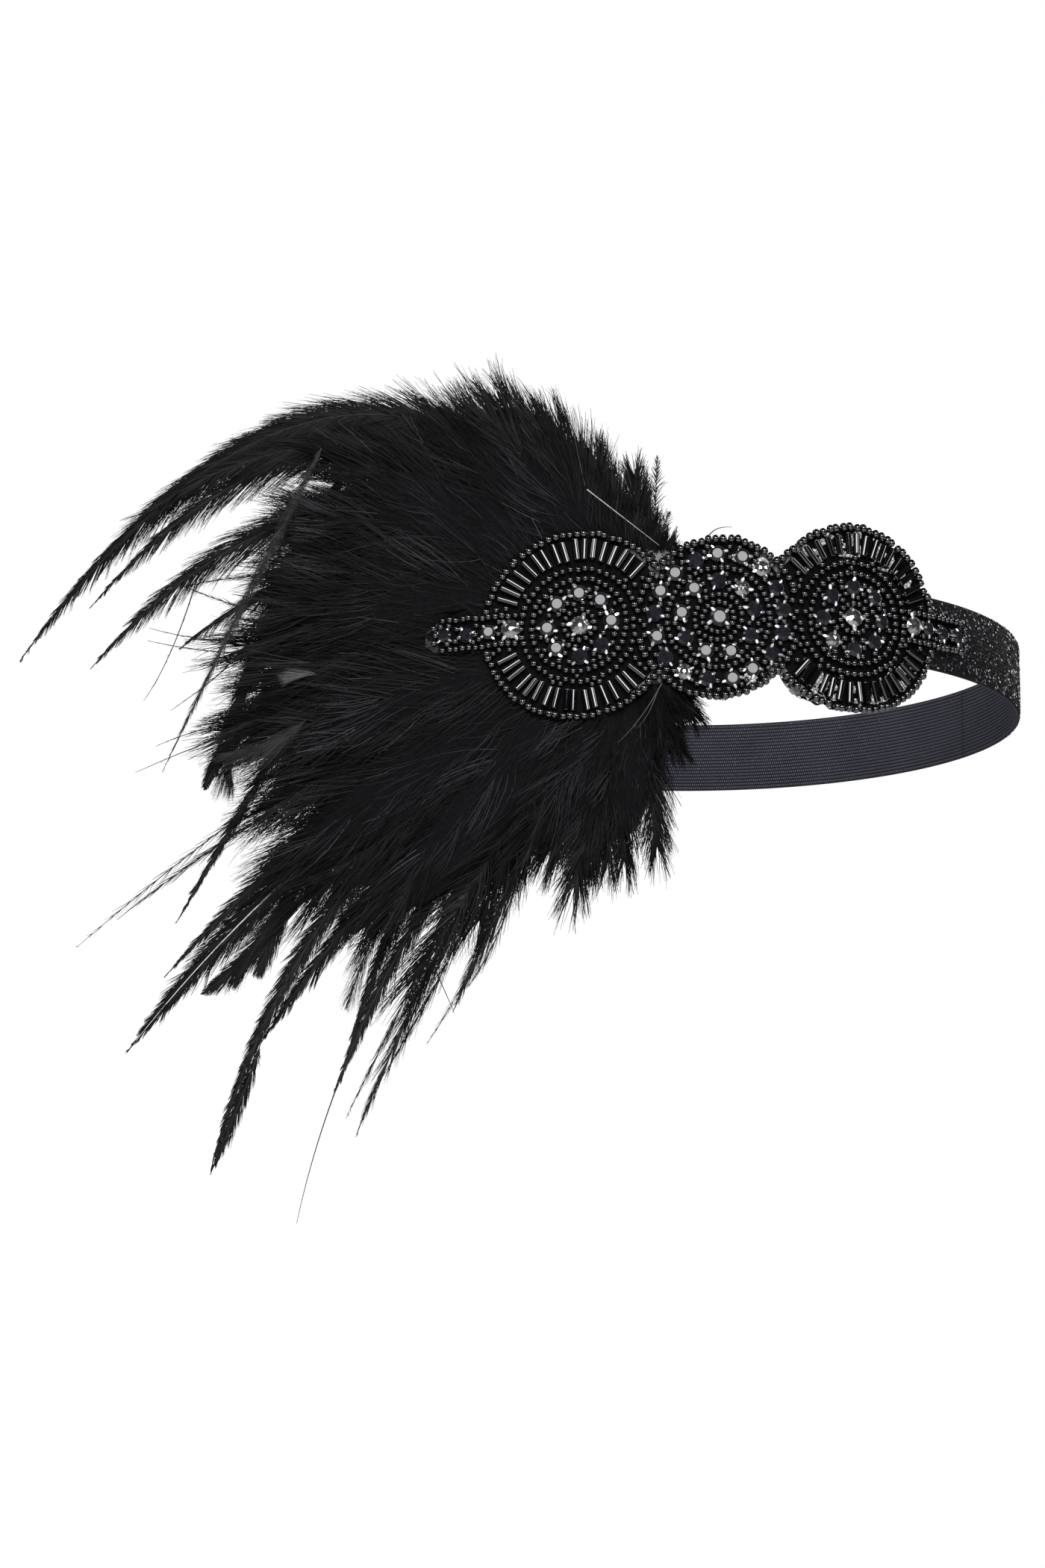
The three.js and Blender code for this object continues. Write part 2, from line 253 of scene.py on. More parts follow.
# Painted shade: the rib profile factor darkens the colour toward the valleys between the ribs; the stitches,
# fuzz, patches and specks are the weave's own colour.
thread_tone_and_valley_shade = (stitch * stitch * 0.95 + fuzz * 0.3) * (patch * 0.7 + 0.75) * (rib_crest_and_valley_shade * 0.9 + 0.08) * inside
seam_gap = (turn - SEAM_TURN).math("ABSOLUTE", turn - SEAM_TURN)
seam = (seam_gap < 0.006) * inside
thread_colour = webbing.mix(thread_tone_and_valley_shade, (0.0022, 0.0022, 0.003, 1), (0.075, 0.077, 0.1, 1))
speck_colour = webbing.mix(speck * inside, thread_colour, (0.1, 0.1, 0.115, 1))
web_colour = webbing.mix(seam * 0.4, speck_colour, (0.002, 0.002, 0.003, 1))
web_bump = webbing.bump(stitch * 0.7 + fuzz * 0.5 + rib_crest_and_valley_shade * 2 - seam * 1.5, 0.15 * MM)
webbing_material = webbing.surface({
    "Base Color": web_colour, "Roughness": 0.82, "Normal": web_bump, "Specular IOR Level": 0.2,
})
elastic_mesh = take_mesh("ribbed_elastic", elastic_bm)
finish_piece("ribbed_elastic", elastic_mesh, webbing_material, "elastic", "elastic_band")


# The glitter: coarse black flakes glued all over the elastic's outer face. Each flake is a flat foil
# that lies a little askew, so some of them flash and the others stay dark.
FLAKE_COUNT = 16000
FLAKE_SIZE = 0.33 * MM
rng = np.random.default_rng(7)


def spread(name, pattern, places, smooth, tones=None):
    """Joins a copy of a pattern at every place, a 4 x 4 array each, into one mesh."""
    pattern.verts.ensure_lookup_table()
    points = np.array([v.co for v in pattern.verts])
    sizes = np.array([len(f.verts) for f in pattern.faces])
    loops = np.array([v.index for f in pattern.faces for v in f.verts])
    pattern.free()
    copies = len(places)
    moved = np.einsum("nij,vj->nvi", places[:, :3, :3], points) + places[:, None, :3, 3]
    all_loops = (loops[None, :] + len(points) * np.arange(copies)[:, None]).ravel()
    all_sizes = np.tile(sizes, copies)
    mesh = join_mesh(name, moved.reshape(-1, 3), all_loops, all_sizes, smooth)
    if tones is not None:
        add_share(mesh, "tone", np.repeat(tones, len(points)))
    return mesh


def join_mesh(name, points, loops, sizes, smooth):
    mesh = bpy.data.meshes.new(name)
    mesh.vertices.add(len(points))
    mesh.vertices.foreach_set("co", points.astype(np.float32).ravel())
    mesh.loops.add(len(loops))
    mesh.loops.foreach_set("vertex_index", loops.astype(np.int32))
    mesh.polygons.add(len(sizes))
    starts = np.concatenate([[0], np.cumsum(sizes)[:-1]])
    mesh.polygons.foreach_set("loop_start", starts.astype(np.int32))
    mesh.polygons.foreach_set("use_smooth", np.full(len(sizes), smooth))
    mesh.update(calc_edges=True)
    return mesh


def add_share(mesh, name, values):
    share = mesh.attributes.new(name, "FLOAT", "POINT")
    share.data.foreach_set("value", values.astype(np.float32))


def frames(side, ahead, out, place):
    """Places from three arrays of directions and one of points."""
    made = np.zeros((len(place), 4, 4))
    made[:, :3, 0] = side
    made[:, :3, 1] = ahead
    made[:, :3, 2] = out
    made[:, :3, 3] = place
    made[:, 3, 3] = 1
    return made


def turned(places, about_x, about_y, about_z, scale=1.0):
    """The same places, each turned a little in its own frame and scaled."""
    spins = np.zeros((len(places), 4, 4))
    angles = np.broadcast_arrays(about_x, about_y, about_z, np.zeros(len(places)))
    for i, (x, y, z, _) in enumerate(zip(*angles)):
        spins[i] = Matrix.Rotation(z, 4, "Z") @ Matrix.Rotation(y, 4, "Y") @ Matrix.Rotation(x, 4, "X")
    spins[:, :3, :3] *= np.reshape(scale, (-1, 1, 1)) if np.ndim(scale) else scale
    return places @ spins


flake = bmesh.new()
bmesh.ops.create_circle(flake, segments=5, radius=FLAKE_SIZE, cap_ends=True)
flake_turn = rng.uniform(0, 2 * math.pi, FLAKE_COUNT)
flake_height = rng.uniform(-0.485, 0.485, FLAKE_COUNT) * BAND_HEIGHT
flake_out = np.stack([np.cos(flake_turn), np.sin(flake_turn), 0 * flake_turn], axis=1)
flake_side = np.stack([-np.sin(flake_turn), np.cos(flake_turn), 0 * flake_turn], axis=1)
flake_up = np.tile([0.0, 0.0, 1.0], (FLAKE_COUNT, 1))
flake_place = flake_out * (BAND_OUTER + 0.05 * MM) + flake_up * flake_height[:, None]
flake_places = turned(
    frames(flake_side, flake_up, flake_out, flake_place),
    rng.normal(0, 0.2, FLAKE_COUNT), rng.normal(0, 0.2, FLAKE_COUNT), rng.uniform(0, 6.3, FLAKE_COUNT),
    rng.uniform(0.55, 1.25, FLAKE_COUNT),
)
glitter = new_finish("glitter")
flake_tone = glitter.attribute("tone")
flake_colour = glitter.mix(flake_tone, (0.006, 0.006, 0.008, 1), (0.3, 0.3, 0.33, 1))
glitter_material = glitter.surface({
    "Base Color": flake_colour, "Roughness": 0.16, "Specular IOR Level": 0.8, "Metallic": 0.35,
})
flakes = spread("glitter_flakes", flake, flake_places, False, rng.uniform(0, 1, FLAKE_COUNT) ** 5)
finish_piece("glitter_flakes", flakes, glitter_material, "elastic")


# The net: a stiff black net with clear glue, cut roughly round the beadwork, that everything is sewn
# to. It sits on the elastic on the wearer's left and parts from it to the right of the middle.
APPLIQUE_TURN = math.radians(2.4)
APPLIQUE_DROP = 2 * MM
RIGHT_SLOPE = 0.053
LEFT_SLOPE = 0.065
PARTING_PLACE = 6 * MM
SHEET_BEND = 320 * MM
SEAT_RADIUS = 92.7 * MM
PITCH = 36.9 * MM
SIDE_RADIUS = 25.8 * MM
MIDDLE_RADIUS = 22.2 * MM
TAB_END = 77.7 * MM
TAB_HALF_HEIGHT = 5.5 * MM
NET_OUT = 0.75 * MM
NET_THICKNESS = 0.22 * MM
NET_COLUMNS = 220
NET_ROWS = 38
BRIDGE_ALONG = -16.5 * MM
BRIDGE_HALF_WIDTH = 8 * MM
BRIDGE_UP = 20.2 * MM
BRIDGE_DOWN = 17.3 * MM
CLEAR_OF_BAND = 10.8 * MM
# Patches that tore open under the middle stones: along, up and radius in millimetres.
TORN_PATCHES = [(11.6, 14.2, 3.4), (9.8, -16.8, 3.6), (4.8, 16.4, 1.7), (-1.8, 17.4, 1.5), (-4, -17, 1.6)]

sheet_turn = APPLIQUE_TURN + PARTING_PLACE / BAND_RADIUS
sheet_centre = np.array([math.sin(sheet_turn), -math.cos(sheet_turn), 0]) * (SEAT_RADIUS - SHEET_BEND)


def middle_line(along):
    """How far the applique's middle line lies above the elastic's; right of its slope it is level."""
    return np.minimum(along, PITCH) * np.where(along < 0, LEFT_SLOPE, RIGHT_SLOPE) - APPLIQUE_DROP


def on_sheet(right, height, out):
    """Points on the gentle bend that the applique's free part and the plume follow."""
    around = sheet_turn - right / SHEET_BEND
    reach = SHEET_BEND + out
    return np.stack([np.sin(around) * reach + sheet_centre[0], -np.cos(around) * reach + sheet_centre[1],
                     height + 0 * around], axis=-1)


def on_applique(along, up, out):
    """Points of the applique: along the elastic, up from its middle line, out from the net's back."""
    along, up, out = np.broadcast_arrays(along, up, out)
    height = up + middle_line(along)
    around = APPLIQUE_TURN + along / BAND_RADIUS
    reach = SEAT_RADIUS + out
    seated = np.stack([np.sin(around) * reach, -np.cos(around) * reach, height], axis=-1)
    free = on_sheet(PARTING_PLACE - along, height, out)
    return np.where((along < PARTING_PLACE)[..., None], free, seated)


def inside_outline(along, up):
    """How far inside the applique's outline a place is, in metres; outside it is negative."""
    left = SIDE_RADIUS - np.hypot(along + PITCH, up)
    right = SIDE_RADIUS - np.hypot(along - PITCH, up)
    middle = MIDDLE_RADIUS - np.hypot(along, up)
    past = np.maximum(np.abs(along) - (TAB_END - TAB_HALF_HEIGHT), 0)
    tab = TAB_HALF_HEIGHT - np.hypot(past, up)
    return np.maximum(np.maximum(left, right), np.maximum(middle, tab))


def half_height(along):
    def dome(radius, offset):
        return np.sqrt(np.maximum(radius * radius - offset * offset, 0))
    past = np.maximum(np.abs(along) - (TAB_END - TAB_HALF_HEIGHT), 0)
    tab = np.maximum(dome(TAB_HALF_HEIGHT, past), TAB_HALF_HEIGHT / 2)
    wide = np.maximum(dome(SIDE_RADIUS, along + PITCH), dome(SIDE_RADIUS, along - PITCH))
    return np.maximum(np.maximum(tab, wide), dome(MIDDLE_RADIUS, along))


net_bm = bmesh.new()
bmesh.ops.create_grid(net_bm, x_segments=NET_COLUMNS, y_segments=NET_ROWS, size=1)
ragged = np.convolve(rng.uniform(-1.1, 0.5, 2 * NET_COLUMNS + 4), [0.25, 0.5, 0.25], "same") * MM
grid = np.array([v.co for v in net_bm.verts])
net_along = grid[:, 0] * (TAB_END + 0.3 * MM)
column = np.rint((grid[:, 0] + 1) * NET_COLUMNS / 2).astype(int)
edge_share = np.abs(grid[:, 1]) ** 6
ragged_up = np.where(grid[:, 1] > 0, ragged[column], ragged[column + NET_COLUMNS]) * edge_share
torn_notch = np.clip(1 - np.abs(net_along - 20 * MM) / (7 * MM), 0, 1) * (grid[:, 1] < 0)
ragged_up += torn_notch * edge_share * 2 * MM
on_bridge = np.abs(net_along - BRIDGE_ALONG) < BRIDGE_HALF_WIDTH
net_bridge = np.where(grid[:, 1] > 0, BRIDGE_UP, BRIDGE_DOWN) * on_bridge
net_up = grid[:, 1] * np.maximum(half_height(net_along), net_bridge) + np.sign(grid[:, 1]) * ragged_up
net_points = on_applique(net_along, net_up, NET_OUT + rng.normal(0, 0.05 * MM, len(grid)))
for vert, point in zip(net_bm.verts, net_points):
    vert.co = point
net_mesh = take_mesh("applique_net", net_bm)
net_inside = inside_outline(net_along, net_up)
add_share(net_mesh, "depth", net_inside / MM)
clear_behind = np.abs(net_up + middle_line(net_along)) > CLEAR_OF_BAND
by_right_bugles = (net_along > PITCH - 14 * MM) * (np.hypot(net_along - PITCH, net_up) > 17.5 * MM)
open_share = 0.8 * by_right_bugles * (net_inside > 1.5 * MM)
for torn_along, torn_up, torn_radius in TORN_PATCHES:
    to_tear = np.hypot(net_along - torn_along * MM, net_up - torn_up * MM)
    open_share = np.maximum(open_share, np.clip((torn_radius * MM - to_tear) / (0.8 * MM), 0, 1))
add_share(net_mesh, "open_net", open_share * clear_behind)
to_notch = np.abs(np.abs(net_along) - 18 * MM)
glued_share = 0.25 * (np.abs(net_along) > TAB_END - 3 * MM) + 1.0 * (to_notch < 6 * MM)
add_share(net_mesh, "glued", np.clip(glued_share, 0, 1))

net = new_finish("net")
place = net.place()
depth = net.attribute("depth")
open_net = net.attribute("open_net")
glued = net.attribute("glued")
cells = net.add("ShaderNodeTexVoronoi", {"feature": "DISTANCE_TO_EDGE"}, {"Vector": place, "Scale": 900.0})
threads = cells < 0.13
glue = net.noise(place, 420.0, 3.0)
film = (depth < 2.2) * (glue > 0.46) * glued
holes = open_net * (net.noise(place, 300.0, 3.0) + open_net * 0.25 > 0.71) * (1 - threads * 0.5)
frayed = (depth < 0.5) * (1 - threads) * (glue < 0.52)
net_colour = net.mix(film + threads * (depth < 1.6) * 0.06, (0.003, 0.003, 0.0035, 1), (0.17, 0.17, 0.175, 1))
net_bump = net.bump(threads + glue * 0.6, 0.15 * MM)
net_material = net.surface({
    "Base Color": net_colour, "Roughness": 0.7, "Alpha": 1 - holes.math("MAXIMUM", holes, frayed * 0.8),
    "Normal": net_bump, "Specular IOR Level": 0.03,
})
net_piece = finish_piece("applique_net", net_mesh, net_material, "backing", "applique_backing")
net_wall = net_piece.modifiers.new("wall", "SOLIDIFY")
net_wall.thickness = NET_THICKNESS


# The bugles: cut tubes of shiny black glass, 5.8 mm long, sewn side by side like rays in an upper and
# a lower arc inside each side medallion's rim. Hand sewing leaves them a little uneven.
BUGLE_LENGTH = 5.8 * MM
BUGLE_RADIUS = 0.9 * MM
BUGLE_BORE = 0.45 * MM
BUGLE_MARGIN = 2.3 * MM
BUGLE_SIDES = 16
BUGLE_COUNT = 17
BUGLE_SWEEP = math.radians(122)
BUGLE_TILT = math.radians(10)
BEAD_FLOOR = 1.0 * MM


def applique_places(along, up, out, heading):
    """Frames on the applique whose X runs along a heading, turned up from the wearer's left."""
    along, up, out, heading = (np.array(a, dtype=float) for a in np.broadcast_arrays(along, up, out, heading))
    step = 0.4 * MM
    east = on_applique(along + step, up, out) - on_applique(along - step, up, out)
    east /= np.linalg.norm(east, axis=1)[:, None]
    north = np.tile([0.0, 0.0, 1.0], (len(along), 1))
    north -= east * np.sum(north * east, axis=1)[:, None]
    north /= np.linalg.norm(north, axis=1)[:, None]
    turn_c, turn_s = np.cos(heading)[:, None], np.sin(heading)[:, None]
    x_axis = east * turn_c + north * turn_s
    y_axis = north * turn_c - east * turn_s
    return frames(x_axis, y_axis, np.cross(east, north), on_applique(along, up, out))


half = BUGLE_LENGTH / 2
bugle_section = [
    (-half, 0, BUGLE_BORE), (-half, 0, BUGLE_RADIUS - 0.15 * MM), (-half + 0.12 * MM, 0, BUGLE_RADIUS),
    (-half + 0.3 * MM, 0, BUGLE_RADIUS), (half - 0.3 * MM, 0, BUGLE_RADIUS),
    (half - 0.12 * MM, 0, BUGLE_RADIUS), (half, 0, BUGLE_RADIUS - 0.15 * MM), (half, 0, BUGLE_BORE),
]
bugle = spun(bugle_section, (1, 0, 0), BUGLE_SIDES)

bugle_along, bugle_up, bugle_heading = [], [], []
for centre in (-PITCH, PITCH):
    tilt = math.copysign(BUGLE_TILT, centre)
    for middle in (math.pi / 2 - tilt, tilt - math.pi / 2):
        for i in range(BUGLE_COUNT):
            turn = middle - BUGLE_SWEEP * ((i + 0.5) / BUGLE_COUNT - 0.5) + rng.normal(0, 0.012)
            radius = SIDE_RADIUS - BUGLE_MARGIN - half + rng.normal(0, 0.12) * MM
            bugle_along.append(centre + radius * math.cos(turn))
            bugle_up.append(radius * math.sin(turn))
            bugle_heading.append(turn + rng.normal(0, 0.03))
bugle_total = len(bugle_along)
bugle_out = BEAD_FLOOR + BUGLE_RADIUS + rng.uniform(0, 0.3, bugle_total) * MM
bugle_places = turned(
    applique_places(bugle_along, bugle_up, bugle_out, bugle_heading),
    0, rng.normal(0, 0.05, bugle_total), 0,
)
jet = new_finish("jet_glass")
place = jet.place()
batch = jet.noise(place, 180.0)
jet_material = jet.surface({
    "Base Color": jet.mix(batch, (0.0005, 0.0005, 0.0007, 1), (0.0025, 0.0025, 0.0035, 1)),
    "Roughness": batch * 0.05 + 0.03, "Specular IOR Level": 0.62, "Coat Weight": 0.3, "Coat Roughness": 0.03,
})
finish_piece(
    "bugle_beads", spread("bugle_beads", bugle, bugle_places, True), jet_material, "bugle",
    "left_upper_bugles", "left_lower_bugles", "right_upper_bugles", "right_lower_bugles",
)


# The seed beads: round black glass beads of about 2.2 mm, strung and sewn down in rings round the
# stones, along every rim and along both edges of the tabs.
SEED_RADIUS = 1.04 * MM
SEED_LENGTH = 1.56 * MM
SEED_BORE = 0.3 * MM
SEED_PITCH = 1.78 * MM
SEED_SIDES = 10
RIM_INSET = 0.7 * MM
RIM_PITCH = 1.95 * MM
RING_PITCH = 2.0 * MM
SMALL_PITCH = 1.7 * MM
BUGLES_START = 16.9 * MM
FILLING_TRIES = 16000

seed_section = []
for a in np.radians([-62, -42, -15, 15, 42, 62]):
    reach = SEED_LENGTH / 2 * math.sin(a) / math.sin(math.radians(62))
    seed_section.append((reach, 0, SEED_RADIUS * math.cos(a)))
for side in (1, -1):
    seed_section.append((side * 0.8 * SEED_LENGTH / 2, 0, SEED_BORE))
seed = spun(seed_section, (1, 0, 0), SEED_SIDES)

seed_along, seed_up, seed_heading, seed_size = [], [], [], []


def sew_ring(centre, radius, size=1.0, pitch=SEED_PITCH, keep=lambda along, up: True):
    count = round(2 * math.pi * radius / pitch)
    phase = rng.uniform(0, 2 * math.pi / count)
    for i in range(count):
        turn = phase + 2 * math.pi * i / count + rng.normal(0, 0.008)
        wander = radius + rng.normal(0, 0.13) * MM
        along, up = centre + wander * math.cos(turn), wander * math.sin(turn)
        if keep(along, up):
            seed_along.append(along)
            seed_up.append(up)
            seed_heading.append(turn + math.pi / 2 + rng.normal(0, 0.12))
            seed_size.append(size * rng.uniform(0.9, 1.08))


def sew_row(start, end, size=1.0):
    start, end = Vector(start), Vector(end)
    count = round((end - start).length / SEED_PITCH)
    for i in range(count + 1):
        spot = start.lerp(end, i / max(count, 1))
        seed_along.append(spot.x + rng.normal(0, 0.1) * MM)
        seed_up.append(spot.y + rng.normal(0, 0.12) * MM)
        seed_heading.append(math.atan2(end.y - start.y, end.x - start.x) + rng.normal(0, 0.15))
        seed_size.append(size * rng.uniform(0.9, 1.08))


def on_side_rim(along, up):
    clear_of_tab = abs(up) > 4.6 * MM or abs(along) < PITCH
    return clear_of_tab and math.hypot(along, up) > MIDDLE_RADIUS + 0.4 * MM


def off_middle(along, up):
    return math.hypot(along, up) > MIDDLE_RADIUS


def on_middle_rim(along, up):
    return math.hypot(abs(along) - PITCH, up) > BUGLES_START


for centre in (-PITCH, PITCH):
    toward = math.copysign(1, centre)
    sew_ring(centre, SIDE_RADIUS - RIM_INSET, 1.16, RIM_PITCH, on_side_rim)
    sew_ring(centre, 15.4 * MM, 1.0, RING_PITCH, off_middle)
    sew_ring(centre, 12.6 * MM, 1.0, RING_PITCH)
    sew_ring(centre, 4.1 * MM, 0.9, SMALL_PITCH)
    for edge in (-3.9 * MM, 3.9 * MM):
        sew_row((centre + toward * 17 * MM, edge), (toward * (TAB_END - 4.6 * MM), edge * 1.03))
    for up in (-2.0 * MM, 0.1 * MM, 2.2 * MM):
        spot = (toward * (TAB_END - 2.6 * MM + 0.2 * abs(up)), up)
        sew_row(spot, spot)
sew_ring(0, MIDDLE_RADIUS - RIM_INSET, 1.14, RIM_PITCH, on_middle_rim)
sew_ring(0, 13.6 * MM, 0.95)
sew_ring(0, 6.3 * MM, 0.9)
sew_ring(0, 4.2 * MM, 0.9, SMALL_PITCH)


def stone_ring(centre, radius, count):
    """A ring of stones from the top on, as rows of along, up and size."""
    turns = [math.pi / 2 + i * 2 * math.pi / count for i in range(count)]
    return [(centre + radius * math.cos(a), radius * math.sin(a), 1.0) for a in turns]


stone_rows = [(0.0, 0.0, 1.19)]
for centre in (-PITCH, PITCH):
    stone_rows.append((centre, 0.0, 1.19))
    stone_rows += stone_ring(centre, 8.7 * MM, 8)
    for distance, size in ((18.3, 1.2), (24.3, 0.9), (30.0, 0.9), (35.55, 0.9)):
        stone_rows.append((centre + math.copysign(distance * MM, centre), 0.0, size))
stone_rows += stone_ring(0, 17.2 * MM, 17) + stone_ring(0, 10 * MM, 9)
stone_spots = np.array(stone_rows)
for _ in range(FILLING_TRIES):
    along, up = rng.uniform(-TAB_END, TAB_END), rng.uniform(-SIDE_RADIUS, SIDE_RADIUS)
    radius = math.hypot(abs(along) - PITCH, up)
    steepness = math.degrees(math.atan2(abs(up), PITCH - abs(along)))
    under_bugles = BUGLES_START < radius < SIDE_RADIUS - 0.9 * MM and 37 < steepness < 163
    if inside_outline(along, up) < 1.1 * MM or under_bugles:
        continue
    to_stones = np.hypot(along - stone_spots[:, 0], up - stone_spots[:, 1]) - 2.75 * MM * stone_spots[:, 2]
    to_seeds = np.hypot(along - np.array(seed_along), up - np.array(seed_up))
    if to_stones.min() > 0 and to_seeds.min() > 1.66 * MM:
        seed_along.append(along)
        seed_up.append(up)
        seed_heading.append(rng.uniform(0, math.pi))
        seed_size.append(rng.uniform(0.8, 0.98))

seed_total = len(seed_along)
seed_out = BEAD_FLOOR + SEED_RADIUS + rng.uniform(-0.05, 0.3, seed_total) * MM
seed_places = turned(
    applique_places(seed_along, seed_up, seed_out, seed_heading),
    0, rng.normal(0, 0.12, seed_total), 0, np.array(seed_size),
)
seed_jet = new_finish("seed_jet")
place = seed_jet.place()
dye = seed_jet.noise(place, 240.0)
seed_material = seed_jet.surface({
    "Base Color": seed_jet.mix(dye, (0.0005, 0.0005, 0.0007, 1), (0.0025, 0.0025, 0.0035, 1)),
    "Roughness": dye * 0.03 + 0.015, "Specular IOR Level": 1.0,
})
finish_piece("seed_beads", spread("seed_beads", seed, seed_places, True), seed_material, "seed_bead")


# The stones: dark cut-glass stones with a flat table, one large one in the centre of each medallion
# and at the root of each tab, the rest in rings and in a row along the tabs.
STONE_RADIUS = 2.1 * MM
STONE_HEIGHT = 1.15 * MM
TABLE_SHARE = 0.64
FOILED_SHARE = 0.06


def cut_stone(*tiers):
    """A stone between rings of corners, each given by its count, and radius and height as shares."""
    stone = bmesh.new()
    for count, radius, height in tiers:
        for i in range(count):
            a = 2 * math.pi * (i + 0.5) / count
            x, y = math.cos(a) * STONE_RADIUS * radius, math.sin(a) * STONE_RADIUS * radius
            stone.verts.new((x, y, STONE_HEIGHT * height))
    bmesh.ops.convex_hull(stone, input=stone.verts)
    bmesh.ops.dissolve_limit(stone, angle_limit=math.radians(1), verts=stone.verts, edges=stone.edges)
    return stone


flat_cut = cut_stone((12, TABLE_SHARE, 1.0), (24, 1.0, 0.36), (12, 0.8, 0.0))
star_cut = cut_stone((5, 0.22, 1.12), (7, 0.58, 0.92), (12, 1.0, 0.36), (8, 0.8, 0.0))

stone_along, stone_up, stone_size = (np.array(c) for c in zip(*stone_rows))
stone_total = len(stone_along)
is_centre = stone_size > 1.15
stone_along = stone_along + rng.normal(0, 0.22, stone_total) * MM
stone_up = stone_up + rng.normal(0, 0.22, stone_total) * MM
stone_places = turned(
    applique_places(stone_along, stone_up, BEAD_FLOOR + 0.75 * MM, rng.uniform(0, math.pi, stone_total)),
    rng.normal(0, 0.065, stone_total), rng.normal(0, 0.065, stone_total), 0, stone_size,
)
cut_glass = new_finish("cut_glass")
place = cut_glass.place()
depths = cut_glass.noise(place, 700.0, 1.0)
dark_glass = cut_glass.mix(depths, (0.002, 0.002, 0.003, 1), (0.014, 0.014, 0.018, 1))
cut_material = cut_glass.surface({"Base Color": dark_glass, "Roughness": 0.045, "IOR": 1.4})
foiled = new_finish("foiled_glass")
place = foiled.place()
sparkle = foiled.noise(place, 900.0, 2.0)
foil_colour = foiled.mix(sparkle, (0.03, 0.03, 0.03, 1), (0.4, 0.39, 0.37, 1))
foiled_material = foiled.surface({
    "Base Color": foil_colour, "Metallic": 0.9, "Roughness": 0.12, "Coat Weight": 0.6,
    "Coat Roughness": 0.03, "Normal": foiled.bump(sparkle, 0.1 * MM, 0.5),
})
stone_names = [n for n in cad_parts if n.endswith("stone") or n.endswith("stones") or "_stone_" in n]
is_foiled = np.where(is_centre, np.abs(stone_along) > 10 * MM, rng.uniform(0, 1, stone_total) < FOILED_SHARE)
flat_stones = spread("flat_stones", flat_cut, stone_places[~is_foiled], False)
finish_piece("flat_stones", flat_stones, cut_material, "stone", *stone_names)
foiled_stones = spread("foiled_stones", star_cut, stone_places[is_foiled], False)
finish_piece("foiled_stones", foiled_stones, foiled_material, "stone")


# The settings: a silvered cup under each stone whose four claws were pressed over its edge by hand,
# none quite like the next. The claws are what flashes most on the whole piece.
CUP_DEPTH = 1.1 * MM
CLAW_SIZE = (2.0 * MM, 1.15 * MM, 0.5 * MM)
CLAW_COUNT = 4
CLAW_EDGE = 0.06 * MM

cup = bmesh.new()
bmesh.ops.create_cone(
    cup, segments=12, radius1=0.72 * STONE_RADIUS, radius2=1.04 * STONE_RADIUS, depth=CUP_DEPTH,
    cap_ends=False,
)
bmesh.ops.translate(cup, vec=(0, 0, -0.1 * MM), verts=cup.verts)
claw = bmesh.new()
bmesh.ops.create_cone(claw, segments=8, radius1=0.5, radius2=0.34, depth=1, cap_ends=True)
bmesh.ops.scale(claw, vec=CLAW_SIZE, verts=claw.verts)
bmesh.ops.bevel(
    claw, geom=claw.edges, offset=CLAW_EDGE, offset_type="OFFSET", affect="EDGES", segments=1, profile=0.5,
    material=-1,
)
claw_places = []
for i in range(CLAW_COUNT):
    corner = turned(stone_places, 0, 0, math.pi / 4 + i * math.pi / 2 + rng.normal(0, 0.16, stone_total))
    press = np.tile(np.eye(4), (stone_total, 1, 1))
    press[:, 0, 3] = STONE_RADIUS * rng.uniform(1.05, 1.2, stone_total)
    press[:, 2, 3] = rng.uniform(0.35, 0.6, stone_total) * MM
    claw_places.append(turned(
        corner @ press, rng.normal(0, 0.3, stone_total), rng.normal(0.22, 0.16, stone_total),
        rng.normal(0, 0.3, stone_total), rng.uniform(0.8, 1.08, stone_total),
    ))

silver = new_finish("silvered_metal")
place = silver.place()
scratch = silver.noise(place, 1500.0, 3.0)
silver_material = silver.surface({
    "Base Color": silver.mix(scratch, (0.55, 0.55, 0.56, 1), (0.9, 0.9, 0.9, 1)), "Metallic": 1.0,
    "Roughness": scratch * 0.3 + 0.18, "Normal": silver.bump(scratch, 0.05 * MM, 0.6),
})
finish_piece("stone_cups", spread("stone_cups", cup, stone_places, False), silver_material, "claw")
claws = spread("stone_claws", claw, np.concatenate(claw_places), False)
finish_piece("stone_claws", claws, silver_material, "claw")


# The plume's down: marabou feathers from the hidden quills, in overlapping layers. Under them lies
# the dense dark down near the rachis, made as soft closed bodies that the barbs stand out from.
QUILL_ALONG = -18.45 * MM
QUILL_THICKNESS = 2.4 * MM
PLUME_REACH = 190 * MM
MARABOU_WIDTH = 17 * MM
MARABOU_DEPTH = 9 * MM
MARABOU_OUT = -5 * MM

